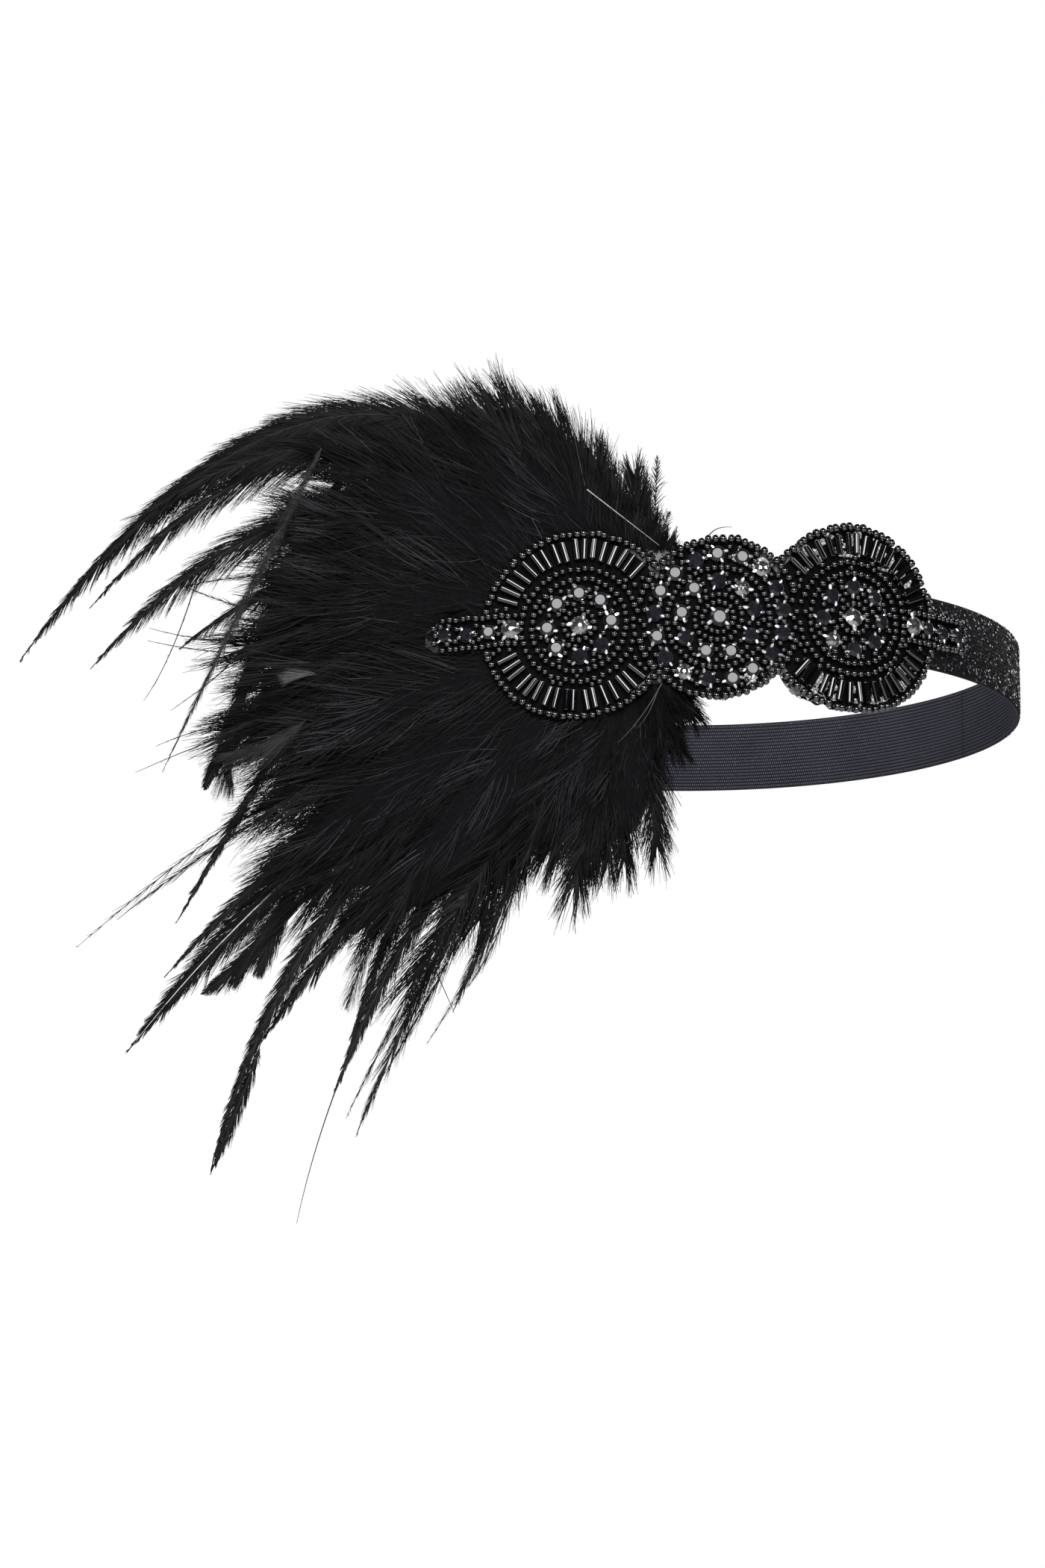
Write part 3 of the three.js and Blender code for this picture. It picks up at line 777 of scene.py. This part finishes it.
# Turns at the quills and at the tip are degrees above the wearer's right. Reach is a share of the
# plume's reach, arch says how far out the feather turns, width and out are shares of the sizes above.
MARABOU_ROWS = [
    # start, tip, reach, arch, width, out
    (104, 105, 0.12, 0.5, 0.3, 0.3),
    (92, 95, 0.135, 0.5, 0.35, 0.9),
    (85, 87, 0.17, 0.5, 0.4, 0.4),
    (80, 81, 0.205, 0.5, 0.45, 1.2),
    (75, 75, 0.235, 0.5, 0.5, 0.4),
    (70, 68, 0.3, 0.5, 0.65, 1.3),
    (63, 60, 0.375, 0.5, 0.85, 0.4),
    (58, 53, 0.43, 0.5, 0.9, 1.2),
    (51, 46, 0.455, 0.5, 1, 0.3),
    (44, 36, 0.475, 0.55, 1.1, 1.2),
    (38, 29, 0.53, 0.55, 1.1, 0.7),
    (34, 24, 0.55, 0.55, 1.2, 0.3),
    (26, 17, 0.57, 0.55, 1.1, 0.8),
    (22, 12, 0.555, 0.55, 1.2, 1.2),
    (14, 7, 0.56, 0.55, 1.1, 0.5),
    (8, 3, 0.57, 0.55, 1.2, 0.2),
    (2, -1, 0.59, 0.55, 1.1, 0.8),
    (-4, -7, 0.625, 0.55, 1.2, 1.2),
    (-10, -12, 0.655, 0.5, 1.1, 0.6),
    (-15, -17, 0.66, 0.5, 1.1, 0.3),
    (-20, -22, 0.65, 0.5, 1.1, 0.9),
    (-25, -28, 0.65, 0.5, 1.1, 1.3),
    (-31, -34, 0.71, 0.5, 1.1, 0.4),
    (-38, -41, 0.67, 0.5, 1, 1.2),
    (-46, -49, 0.65, 0.5, 1, 0.3),
    (-55, -57, 0.53, 0.5, 0.9, 1.2),
    (-65, -66, 0.42, 0.5, 0.8, 0.3),
    (-74, -75, 0.385, 0.5, 0.75, 1.1),
    (-82, -83, 0.375, 0.5, 0.65, 0.3),
    (-85, -87, 0.27, 0.5, 0.42, 0.9),
    (-93, -97, 0.2, 0.5, 0.4, 0.3),
    (-105, -108, 0.155, 0.5, 0.4, 0.6),
]


def in_plume(right, up, out):
    """Points of the plume, kept behind the applique's net and outside the elastic."""
    right, up, out = np.broadcast_arrays(right, up, out)
    along = QUILL_ALONG - right
    height = middle_line(np.array(QUILL_ALONG)) + up
    from_middle = height - middle_line(along)
    bridged = np.abs(along - BRIDGE_ALONG) < BRIDGE_HALF_WIDTH
    bridged &= (from_middle > 0.5 * MM - BRIDGE_DOWN) & (from_middle < BRIDGE_UP - 0.8 * MM)
    covered = (inside_outline(along, from_middle) > -0.8 * MM) | bridged
    out = np.where(covered, np.minimum(out, 0.1 * MM), out)
    point = on_sheet(PARTING_PLACE - QUILL_ALONG + right, height, out)
    reach = np.hypot(point[..., 0], point[..., 1])
    beside_band = np.abs(height) < BAND_HEIGHT / 2 + 0.6 * MM
    grow = np.where(beside_band, np.maximum(1, (BAND_OUTER + 0.1 * MM) / reach), 1)
    point[..., 0] *= grow
    point[..., 1] *= grow
    return point


def from_quills(start, tip, reach, arch):
    """The path of a feather that starts at the quills, as three control points, right and up."""
    start, tip, reach = math.radians(start), math.radians(tip), reach * PLUME_REACH
    bow = (math.cos(start) * arch * reach, math.sin(start) * arch * reach)
    return np.array([(0, 0), bow, (math.cos(tip) * reach, math.sin(tip) * reach)])


def spine(path, t):
    """A feather's rachis at shares t of its length: right, up, and the direction of travel."""
    t = np.asarray(t)[..., None]
    point = (1 - t) ** 2 * path[0] + 2 * t * (1 - t) * path[1] + t * t * path[2]
    travel = (1 - t) * (path[1] - path[0]) + t * (path[2] - path[1])
    travel /= np.linalg.norm(travel, axis=-1)[..., None]
    return point, travel


def spine_out(t, target):
    ease = np.clip(t / 0.5, 0, 1)
    ease = ease * ease * (3 - 2 * ease)
    return -QUILL_THICKNESS / 2 + (target + QUILL_THICKNESS / 2) * ease


def fullness(t, fullest, rise):
    fall = rise * (1 - fullest) / fullest
    return (t / fullest) ** rise * ((1 - t) / (1 - fullest)) ** fall


down_bm = bmesh.new()
for row in MARABOU_ROWS:
    ball = bmesh.ops.create_uvsphere(down_bm, u_segments=12, v_segments=14, radius=1)
    ball_points = np.array([v.co for v in ball["verts"]])
    t = np.arccos(np.clip(ball_points[:, 2], -1, 1)) / math.pi
    girth = np.hypot(ball_points[:, 0], ball_points[:, 1])
    full = fullness(np.clip(t, 1e-6, 1 - 1e-6), 0.6, 0.8)
    swell = np.where(girth < 1e-6, 0, full / np.maximum(girth, 1e-6))
    middle, travel = spine(from_quills(*row[:4]), t * 0.84)
    aside = ball_points[:, 0] * swell * row[4] * MARABOU_WIDTH * 0.6
    out = spine_out(t, row[5] * MARABOU_OUT) + ball_points[:, 1] * swell * MARABOU_DEPTH * 0.35
    points = in_plume(middle[:, 0] - aside * travel[:, 1], middle[:, 1] + aside * travel[:, 0], out)
    for vert, point in zip(ball["verts"], points):
        vert.co = point
bmesh.ops.recalc_face_normals(down_bm, faces=down_bm.faces)
for face in down_bm.faces:
    face.smooth = True

down = new_finish("down")
place = down.place()
fluff = down.noise(place, 800.0, 4.0)
down_material = down.surface({
    "Base Color": down.mix(fluff, (0.0015, 0.0015, 0.002, 1), (0.006, 0.006, 0.0065, 1)),
    "Roughness": 0.95, "Specular IOR Level": 0.05, "Normal": down.bump(fluff, 0.5 * MM),
})
finish_piece("plume_down", take_mesh("plume_down", down_bm), down_material, "feather", "feather_plume")


# The marabou barbs: long, limp and very fine, with soft tips that cling together in tufts, so the
# plume looks like one dark cloud that frays out at its edge; its soft lighter stripes are painted sheen.
MARABOU_SEGMENTS = 4
MARABOU_PER_SIDE = 220
MARABOU_LAYERS = 4
BRIGHT_SHARE = 0.013


def grow_barbs(path, lie, half_width, depth, ends, count, segments, style, rng):
    """One feather's barbs as ribbons: corners (barbs x rungs x 2 edges x 3) and a tone for each."""
    total = 2 * count
    order = np.arange(total)
    pair = order // 2
    side = np.where(order % 2, 1.0, -1.0)
    t = ends[0] + (ends[1] - ends[0]) * ((pair + rng.uniform(0, 1, total)) / count) ** style["crowd"]
    root, travel = spine(path, t)
    share = (t - ends[0]) / (ends[1] - ends[0])
    splay = np.radians(style["splay"][0] + (style["splay"][1] - style["splay"][0]) * share)
    splay = splay * rng.normal(1, style["stray"], total)
    tuft = pair // style["tuft"]
    leader = np.minimum((tuft * style["tuft"] + style["tuft"] // 2) * 2 + order % 2, total - 2 + order % 2)
    mood = rng.normal(0, 1, total)[leader]
    longest = half_width * style["swell"](share) / np.sin(np.radians(style["splay"][1] + 12))
    length = longest * rng.uniform(0.72, 1.06, total)
    heading = np.arctan2(travel[:, 1], travel[:, 0])
    v = np.linspace(0, 1, segments + 1)[None, :]
    bend = heading[:, None] + side[:, None] * (splay[:, None] * (1.15 - style["curl"] * v))
    bend = bend + 0.1 * mood[:, None] * v + rng.normal(0, style["bow"], total)[:, None] * v

    def walked(direction):
        steps = np.cumsum(direction[:, :-1] * (length[:, None] / segments), axis=1)
        return np.concatenate([np.zeros((total, 1)), steps], axis=1)

    right = root[:, :1] + walked(np.cos(bend))
    up = root[:, 1:] + walked(np.sin(bend)) - style["droop"] * length[:, None] * v ** 2
    draw = (style["cling"] * rng.uniform(0.3, 1, total)[leader])[:, None] * v ** 2
    right = right + draw * (right[leader] - right)
    up = up + draw * (up[leader] - up)
    loft = rng.uniform(-1, 1, total) * depth * style["swell"](share) + style["tuft_depth"] * mood
    out = lie(t)[:, None] + loft[:, None] * v ** 1.3
    half = style["thick"] * (1 - 0.75 * v) / 2 * rng.uniform(0.7, 1.3, total)[:, None]
    twist = rng.normal(0, style["twist"], total)[:, None]
    edge_right = -np.sin(bend) * np.cos(twist) * half
    edge_up = np.cos(bend) * np.cos(twist) * half
    edge_out = np.sin(twist) * half
    first = in_plume(right - edge_right, up - edge_up, out - edge_out)
    second = in_plume(right + edge_right, up + edge_up, out + edge_out)
    tones = 0.42 + 0.13 * mood + rng.normal(0, 0.05, total)
    tones += 0.55 * (rng.uniform(0, 1, total) < BRIGHT_SHARE)
    return np.stack([first, second], axis=2), np.clip(tones, 0, 1)


def barbs_mesh(name, feathers):
    """One mesh of all the ribbons of several feathers, with a tone for each barb."""
    corners = np.concatenate([f[0] for f in feathers])
    tones = np.concatenate([f[1] for f in feathers])
    total, rungs = corners.shape[:2]
    first = np.arange(total)[:, None] * rungs * 2 + np.arange(rungs - 1)[None, :] * 2
    loops = np.stack([first, first + 1, first + 3, first + 2], axis=-1).ravel()
    mesh = join_mesh(name, corners.reshape(-1, 3), loops, np.full(total * (rungs - 1), 4), True)
    add_share(mesh, "tone", np.repeat(tones, rungs * 2))
    return mesh


def lie_of(target, from_root=True):
    """How far out a feather lies along its length: from the quills' plane, or all the way out."""
    if from_root:
        return lambda t: spine_out(t, target)
    return lambda t: target + 0 * t


# Splay is the barbs' angle to the rachis at both ends, in degrees. Tuft says how many barbs cling
# together, curl and bow how they bend, crowd how they gather near the root.
MARABOU_STYLE = {
    "crowd": 0.75, "splay": (40, 14), "stray": 0.3, "tuft": 12, "curl": 0.8, "bow": 0.22, "droop": 0.03,
    "cling": 0.5, "tuft_depth": 1.6 * MM, "thick": 0.28 * MM, "twist": 0.25,
    "swell": lambda s: (0.4 + 0.6 * np.clip(s / 0.3, 0, 1)) * (1 - 0.3 * s ** 4),
}
plume_rng = np.random.default_rng(21)
marabou_groups = [[] for _ in range(MARABOU_LAYERS)]
for row in MARABOU_ROWS:
    for layer, group in enumerate(marabou_groups):
        fan = math.degrees(row[4] * MARABOU_WIDTH / (row[2] * PLUME_REACH)) * (layer - 1.5) * 0.36
        stray = 3 if -84 < row[0] < 84 else 1.2
        path = from_quills(
            row[0] + fan + plume_rng.normal(0, stray), row[1] + fan + plume_rng.normal(0, stray),
            row[2] * plume_rng.uniform(0.88, 1.0), row[3],
        )
        lie = lie_of((row[5] + plume_rng.uniform(-0.35, 0.35)) * MARABOU_OUT)
        group.append(grow_barbs(
            path, lie, row[4] * MARABOU_WIDTH * 0.62, MARABOU_DEPTH * 0.75, (0.1, 0.93), MARABOU_PER_SIDE,
            MARABOU_SEGMENTS, MARABOU_STYLE, plume_rng,
        ))

marabou = new_finish("marabou")
place = marabou.place()
tone = marabou.attribute("tone")
cloud = marabou.noise(place, 45.0, 3.0)
# Painted sheen: the base colour turns lighter in noise patches on the barbs of high tone, standing in for the
# soft light of the barbs' sheen.
sheen_streaks = tone ** 3 * (cloud * 2.6 - 0.55)
lit = sheen_streaks.math("MAXIMUM", sheen_streaks, 0.0)
marabou_material = marabou.surface({
    "Base Color": marabou.mix(lit, (0.0009, 0.0009, 0.0012, 1), (0.055, 0.055, 0.059, 1)),
    "Roughness": 0.65, "Specular IOR Level": 0.06,
})
for number, group in enumerate(marabou_groups, 1):
    name = f"marabou_barbs_{number}"
    finish_piece(name, barbs_mesh(name, group), marabou_material, "feather")


# The hackles: long narrow cock's feathers with a stiff dark rachis and thin barbs. The long ones arch
# over the ear and droop from their lower side, the rest hang out of the marabou below and part in tufts.
HACKLE_WIDTH = 8 * MM
HACKLE_OUT = -7 * MM
HACKLE_SEGMENTS = 3
HACKLE_SHAFT = 0.42 * MM
LOOSE_SHAFT = 0.15 * MM
STYLE_FIELDS = ("splay", "stray", "tuft", "curl", "bow", "droop", "cling", "thick")
HACKLE_STYLES = {
    "arched": ((24, 11), 0.16, 7, 0.3, 0.1, 0.16, 0.6, 0.26 * MM),
    "hanging": ((21, 11), 0.2, 9, 0.5, 0.08, 0.02, 0.6, 0.28 * MM),
    "sparse": ((11, 6), 0.3, 3, 0.3, 0.05, 0.0, 0.5, 0.2 * MM),
    "sheer": ((13, 7), 0.3, 6, 0.5, 0.08, 0.0, 0.35, 0.14 * MM),
    "curly": ((30, 24), 0.25, 2, -0.6, 0.2, 0.0, 0.4, 0.3 * MM),
}
for kind, values in HACKLE_STYLES.items():
    HACKLE_STYLES[kind] = {
        **dict(zip(STYLE_FIELDS, values)), "crowd": 1.0, "tuft_depth": 0.3 * MM, "twist": 0.25,
        "swell": lambda s: fullness(np.clip(s, 0.02, 0.985), 0.35, 0.5),
    }
HACKLE_ROWS = [
    # start, tip, reach, arch, width, out, barbs a side, share where they end, undyed, style
    (57, -0.5, 0.99, 0.745, 1.0, 1.1, 1000, 0.985, 0, "arched"),
    (60, 9, 0.84, 0.78, 1.0, 0.8, 760, 0.985, 0, "arched"),
    (54, 4, 0.86, 0.74, 0.9, 0.9, 600, 0.985, 0, "arched"),
    (51, 14, 0.79, 0.7, 0.9, 0.7, 500, 0.985, 0, "arched"),
    (43, -2, 0.855, 0.66, 1.0, 0.9, 560, 0.985, 0, "arched"),
    (31, -1, 0.7, 0.6, 0.8, 0.6, 300, 0.985, 0, "arched"),
    (-9, -17, 0.69, 0.5, 0.5, 1.1, 260, 0.985, 0, "hanging"),
    (-24, -34, 0.87, 0.5, 0.7, 0.9, 520, 0.985, 0, "hanging"),
    (-20, -26, 0.9, 0.5, 0.6, 1.2, 90, 0.985, 0, "sparse"),
    (-28, -37, 0.985, 0.55, 1.0, 1.1, 800, 0.98, 1, "hanging"),
    (-38, -46, 0.82, 0.5, 0.8, 1, 520, 0.985, 0, "hanging"),
    (-31, -50.5, 1, 0.6, 0.55, 0.7, 760, 0.985, 0, "hanging"),
    (-45, -59, 0.99, 0.6, 0.55, 1.1, 420, 0.78, 0, "hanging"),
    (-52, -60, 0.84, 0.5, 0.9, 0.7, 200, 0.985, 0, "sparse"),
    (-60, -63, 0.62, 0.5, 0.8, 0.9, 200, 0.985, 0, "sparse"),
]
# Loose ones that don't start at the quills: control points, right and up from the quills in
# millimetres, half the width, out as a share, barbs a side, undyed and style.
LOOSE_ROWS = [
    ((87.6, 51.5), (104.0, 19.7), (134.0, -38.1), 2.8, -0.2, 420, 0.6, "sheer"),
    ((84.9, 48.3), (98.0, 18.5), (126.0, -35.4), 4.2, 1.6, 620, 0, "hanging"),
    ((97.2, 31.0), (105.5, 2.5), (122.0, -28.0), 4.4, 1.3, 420, 0, "hanging"),
    ((104.4, 18.2), (118.9, 19.3), (136.5, 16.7), 1.2, 1.2, 16, 0, "sparse"),
    ((107.5, 8.1), (117.2, 10.5), (136.5, 19.5), 1.2, 1.3, 18, 0, "sparse"),
    ((109.6, 0.5), (125.8, 0.8), (143.2, 6.9), 0.7, 1.2, 12, 0, "sparse"),
    ((110.7, -3.1), (125.3, -2.2), (143.2, 3.2), 0.7, 1.1, 12, 0, "sparse"),
    ((117.0, -22.3), (127.5, -22.5), (140.2, -26.6), 0.5, 1.2, 10, 0, "sparse"),
    ((114.8, -24.5), (127.3, -27.3), (146.9, -33.5), 0.5, 1.2, 10, 0, "sparse"),
    ((117.2, -4.7), (121.3, -9.4), (136.0, -17.2), 0.6, 1.2, 12, 0, "sparse"),
    ((126.0, 23.1), (133.6, -2.6), (143.6, -14.3), 0.5, 1.0, 8, 0, "sparse"),
    ((110.2, -45.3), (135.2, -60.8), (165.2, -80.7), 2.4, 1.2, 22, 0, "sparse"),
    ((95.5, -18.6), (116.2, -49.8), (133.5, -76.6), 2.4, 1.2, 300, 0, "hanging"),
    ((110.5, -20.7), (120.6, -29.9), (124.7, -40.2), 3.2, 1.1, 220, 0, "hanging"),
    ((112.5, -22.7), (118.6, -30.9), (116.7, -38.2), 4.6, 1.1, 220, 0, "sheer"),
    ((88.3, -13.0), (91.5, -12.2), (96.5, -14.0), 2.6, -0.5, 70, 1.6, "sheer"),
    ((91.0, -24.5), (99.7, -32.4), (112.4, -34.0), 6.0, -0.4, 90, 0.8, "sheer"),
    ((100.9, -77.4), (111.1, -89.0), (124.4, -96.3), 4.0, 0.9, 200, 0, "hanging"),
    ((90.8, -69.8), (107.8, -79.9), (113.9, -95.3), 5.0, 0.7, 300, 0, "sheer"),
    ((95.1, -67.6), (103.4, -78.3), (107.5, -93.2), 4.6, 0.8, 200, 0, "hanging"),
    ((106.1, -111.4), (112.7, -128.8), (120.6, -145.7), 2.8, 0.7, 170, 0, "hanging"),
    ((50.4, -67.5), (64.9, -97.0), (83.5, -132.3), 3.0, 1.2, 60, 0, "sparse"),
    ((43.8, -66.4), (54.8, -93.9), (74.0, -122.7), 3.0, 1.1, 60, 0, "sparse"),
    ((35.8, -62.6), (43.3, -87.6), (60.8, -113.1), 2.6, 1.0, 26, 0, "sparse"),
    ((33.8, -60.6), (38.8, -85.1), (49.8, -98.3), 2.4, 0.9, 24, 0, "sparse"),
    ((62.0, -62.9), (75.6, -86.9), (85.0, -122.9), 2.4, 1.3, 260, 0, "hanging"),
    ((70.2, -70.7), (77.0, -86.6), (82.6, -102.5), 5.0, 0.9, 70, 0, "sheer"),
    ((61.9, -84.0), (56.2, -96.6), (53.0, -103.7), 0.3, 1.4, 6, 0, "sparse"),
    ((-0.6, 24.2), (0.1, 38.6), (1.1, 44.8), 2.3, 0.6, 30, 0, "curly"),
    ((-2.0, 24.2), (-2.5, 39.2), (-2.9, 47.7), 2.5, 0.7, 34, 0, "curly"),
    ((-3.4, 22.9), (-4.5, 28.3), (-6.3, 31.6), 1.8, 0.5, 18, 0, "curly"),
]
# Stripped quills in front of the down, and at last a stray end of thread: the same three points, out
# and undyed.
BARE_ROWS = [
    ((16.6, 35.5), (7.8, 28.3), (-3.0, 19.6), -0.7, 0.45),
    ((-3.4, -17.4), (2.3, -28.6), (8.7, -34.3), -0.7, 0.03),
    ((-2.4, -19.0), (0.3, -27.7), (3.7, -30.3), -0.7, 0.01),
    ((-15.6, 22.6), (-17.3, 26.8), (-22.7, 26.3), -0.1, 0.02),
]
hackle_feathers, shaft_rows = [], []
for start, tip, reach, arch, width, out, count, barbs_end, undyed, kind in HACKLE_ROWS:
    path = from_quills(start, tip, reach, arch)
    shaft_rows.append((path, lie_of(out * HACKLE_OUT), HACKLE_SHAFT, undyed))
    for full, crowded, end in ((1, 1, 1), (0.32, 0.4, 0.95)):
        hackle_feathers.append(grow_barbs(
            path, lie_of(out * HACKLE_OUT), full * width * HACKLE_WIDTH, 1.2 * MM, (0.22, end * barbs_end),
            round(crowded * count), HACKLE_SEGMENTS, HACKLE_STYLES[kind], plume_rng,
        ))
for root, bow, end, half_width, out, count, undyed, kind in LOOSE_ROWS:
    path, lie = np.array([root, bow, end]) * MM, lie_of(out * HACKLE_OUT, False)
    shaft_rows.append((path, lie, LOOSE_SHAFT, 0))
    barbs, tones = grow_barbs(
        path, lie, half_width * MM, 0.8 * MM, (0.02, 0.985), count, HACKLE_SEGMENTS, HACKLE_STYLES[kind],
        plume_rng,
    )
    hackle_feathers.append((barbs, tones + undyed))
for root, bow, end, out, undyed in BARE_ROWS:
    shaft_rows.append((np.array([root, bow, end]) * MM, lie_of(out * HACKLE_OUT, False), LOOSE_SHAFT, undyed))

hackle = new_finish("hackle")
tone = hackle.attribute("tone")
hackle_material = hackle.surface({
    "Base Color": hackle.mix(tone * tone * 0.1, (0.0014, 0.0014, 0.0018, 1), (0.15, 0.15, 0.155, 1)),
    "Roughness": 0.5, "Specular IOR Level": 0.12,
})
finish_piece("hackle_barbs", barbs_mesh("hackle_barbs", hackle_feathers), hackle_material, "feather")

# The rachis of each hackle: a tapering shaft of dark horn, glossier than the barbs, and left undyed
# and pale on one of the longest below.
SHAFT_STEPS = 30
SHAFT_SIDES = 5
shaft_corners, shaft_loops, shaft_tones = [], [], []
for path, lie, thick, undyed in shaft_rows:
    t = np.linspace(0.02, 0.985, SHAFT_STEPS)
    middle, travel = spine(path, t)
    radius = thick * (1 - t) ** 0.8 + 0.05 * MM
    around = np.linspace(0, 2 * math.pi, SHAFT_SIDES, endpoint=False)
    aside = radius[:, None] * np.cos(around)[None, :]
    out = lie(t)[:, None] + radius[:, None] * np.sin(around)[None, :]
    right = middle[:, :1] - aside * travel[:, 1:]
    up = middle[:, 1:] + aside * travel[:, :1]
    points = in_plume(right, up, out).reshape(-1, 3)
    base = len(shaft_corners) * SHAFT_STEPS * SHAFT_SIDES
    shaft_corners.append(points)
    shaft_tones.append(np.full(len(points), undyed))
    ring = np.arange(SHAFT_SIDES)
    for i in range(SHAFT_STEPS - 1):
        a = base + i * SHAFT_SIDES + ring
        b = base + i * SHAFT_SIDES + (ring + 1) % SHAFT_SIDES
        shaft_loops.append(np.stack([a, b, b + SHAFT_SIDES, a + SHAFT_SIDES], axis=-1).ravel())
shaft_loops = np.concatenate(shaft_loops)
horn = new_finish("horn")
place = horn.place()
horn_streak = horn.noise(place, 300.0)
tone = horn.attribute("tone")
dyed_horn = horn.mix(horn_streak, (0.003, 0.003, 0.004, 1), (0.02, 0.02, 0.022, 1))
horn_colour = horn.mix(tone, dyed_horn, (0.55, 0.53, 0.5, 1))
horn_material = horn.surface({"Base Color": horn_colour, "Roughness": 0.4, "Specular IOR Level": 0.3})
shaft_sizes = np.full(len(shaft_loops) // 4, 4)
shafts = join_mesh("hackle_shafts", np.concatenate(shaft_corners), shaft_loops, shaft_sizes, True)
add_share(shafts, "tone", np.concatenate(shaft_tones))
finish_piece("hackle_shafts", shafts, horn_material, "feather")
